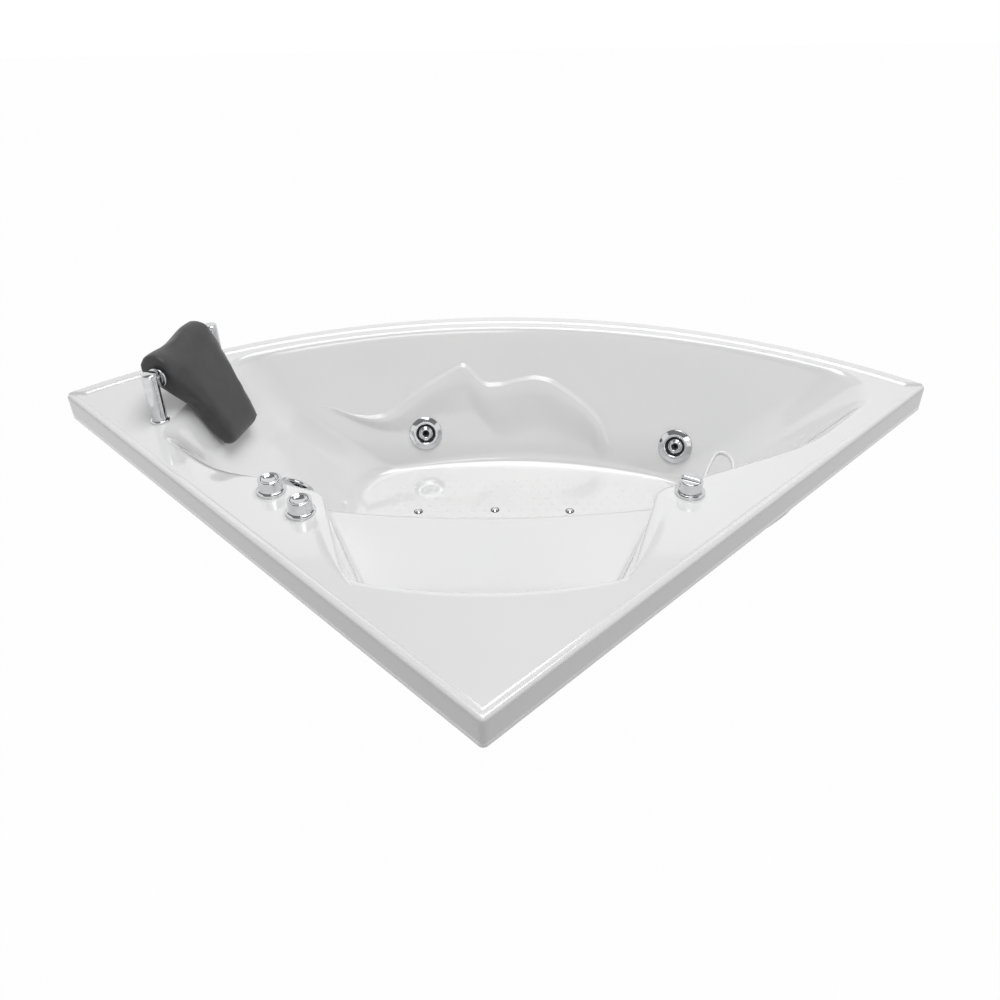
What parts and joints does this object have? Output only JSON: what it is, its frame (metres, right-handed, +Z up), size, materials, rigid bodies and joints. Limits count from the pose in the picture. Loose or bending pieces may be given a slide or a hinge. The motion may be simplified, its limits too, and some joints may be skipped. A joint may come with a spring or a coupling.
{
  "type": "corner jetted bathtub",
  "caption": "Drop-in corner jetted tub: quarter-circle shell with corner seat, head pillow, swivel water jets, floor air jets, deck controls, pop-up waste, pump, blower and frame.",
  "frame": {"origin": "on the floor under the middle of the deck's outline, feet standing on z = 0", "axes": "+Z up, +Y from the right-angled corner towards the curved side, +X to the right when looking along +Y"},
  "size_m": [1.9716, 1.3958, 0.702],
  "materials": {
    "acrylic": "gloss",
    "timber": "matte",
    "frame_paint": "satin",
    "zinc_steel": "satin",
    "rubber": "matte",
    "pillow_cover": "satin",
    "chrome": "polished",
    "fitting_plastic": "matte",
    "pipe_plastic": "satin",
    "pump_plastic": "matte",
    "motor_metal": "satin"
  },
  "bodies": {
    "tub": {"tub_shell": "acrylic", "base_board": "timber", "frame_rails": "frame_paint", "frame_beams": "frame_paint", "frame_uprights": "frame_paint", "foot_rods": "zinc_steel", "foot_nuts": "zinc_steel", "foot_pads": "rubber", "rim_battens": "timber", "equipment_shelves": "frame_paint", "pillow_posts": "chrome", "pillow_post_rings": "chrome", "pillow_post_nuts": "zinc_steel", "pillow_axle": "chrome", "pillow_washers": "chrome", "massage_bezel": "chrome", "massage_bellows": "rubber", "bubble_bezel": "chrome", "bubble_bellows": "rubber", "regulator_base": "chrome", "deck_nuts": "fitting_plastic", "jet_fittings": "fitting_plastic", "jet_nuts": "fitting_plastic", "jet_bodies": "fitting_plastic", "water_pipes": "pipe_plastic", "air_pipes": "pipe_plastic", "air_jet_caps": "chrome", "air_jet_nuts": "fitting_plastic", "air_manifold": "pipe_plastic", "blower_hose": "pipe_plastic", "blower_housing": "pump_plastic", "suction_cover": "chrome", "suction_screw": "zinc_steel", "suction_body": "fitting_plastic", "suction_nut": "fitting_plastic", "suction_pipe": "pipe_plastic", "drain_flange": "chrome", "drain_body": "fitting_plastic", "drain_trap": "pipe_plastic", "overflow_rosette": "chrome", "overflow_body": "fitting_plastic", "overflow_pipe": "pipe_plastic", "pump_volute": "pump_plastic", "pump_motor": "motor_metal", "pump_foot": "pump_plastic", "control_box": "pump_plastic", "button_lines": "pipe_plastic"},
    "pillow": {"pillow": "pillow_cover", "pillow_sleeve": "fitting_plastic"},
    "massage_button": {"massage_button": "chrome"},
    "bubble_button": {"bubble_button": "chrome"},
    "regulator_knob": {"regulator_knob": "chrome"},
    "jet_1_face": {"jet_1_face": "chrome"},
    "jet_1_nozzle": {"jet_1_nozzle": "chrome"},
    "jet_2_face": {"jet_2_face": "chrome"},
    "jet_2_nozzle": {"jet_2_nozzle": "chrome"},
    "overflow_dial": {"overflow_dial": "chrome"},
    "drain_plug": {"drain_plug": "chrome"},
    "pump_rotor": {"pump_rotor": "motor_metal"},
    "blower_rotor": {"blower_rotor": "pump_plastic"}
  },
  "joints": [
    {"name": "pillow_tilt", "type": "hinge", "parent": "tub", "child": "pillow", "pos_m": [-0.69721, 0.28723, 0.652], "axis": [-0.2368, -0.9715, 0], "range_deg": [0, 110]},
    {"name": "regulator_turn", "type": "hinge", "parent": "tub", "child": "regulator_knob", "pos_m": [0.382, -0.13707, 0.568], "axis": [0, 0, 1], "range_deg": [0, 180]},
    {"name": "overflow_turn", "type": "hinge", "parent": "tub", "child": "overflow_dial", "pos_m": [-0.40037, -0.03895, 0.502], "axis": [0.3111, 0.7452, 0.5898], "range_deg": [0, 90]},
    {"name": "plug_lift", "type": "slide", "parent": "tub", "child": "drain_plug", "axis": [0, 0, 1], "range_m": [0, 0.009]},
    {"name": "pump_spin", "type": "hinge", "parent": "tub", "child": "pump_rotor", "pos_m": [0.06, -0.09007, 0.28], "axis": [1, 0, 0], "continuous": true},
    {"name": "blower_spin", "type": "hinge", "parent": "tub", "child": "blower_rotor", "pos_m": [-0.566, 0.28093, 0.263], "axis": [0, 0, 1], "continuous": true},
    {"name": "massage_press", "type": "slide", "parent": "tub", "child": "massage_button", "axis": [0, 0, 1], "range_m": [-0.004, 0], "stiffness_N_per_m": 1500, "springref_m": 0.001, "deforming": ["massage_bellows"]},
    {"name": "bubble_press", "type": "slide", "parent": "tub", "child": "bubble_button", "axis": [0, 0, 1], "range_m": [-0.004, 0], "stiffness_N_per_m": 1500, "springref_m": 0.001, "deforming": ["bubble_bellows"]},
    {"name": "jet_1_turn", "type": "hinge", "parent": "tub", "child": "jet_1_face", "pos_m": [-0.18718, 0.51901, 0.311], "axis": [0.1594, -0.9109, 0.3805], "range_deg": [0, 100]},
    {"name": "jet_1_swivel", "type": "hinge", "parent": "jet_1_face", "child": "jet_1_nozzle", "pos_m": [-0.1875, 0.52083, 0.31024], "axis": [0.985, 0.1723, 0], "range_deg": [-18, 18]},
    {"name": "jet_2_turn", "type": "hinge", "parent": "tub", "child": "jet_2_face", "pos_m": [0.46504, 0.44046, 0.311], "axis": [-0.3721, -0.8491, 0.3749], "range_deg": [0, 100]},
    {"name": "jet_2_swivel", "type": "hinge", "parent": "jet_2_face", "child": "jet_2_nozzle", "pos_m": [0.46579, 0.44216, 0.31025], "axis": [0.9159, -0.4013, 0], "range_deg": [-18, 18]}
  ],
  "couplings": [
    {"joint": "plug_lift", "follows": "overflow_turn", "m_per_rad": 0.00572}
  ]
}
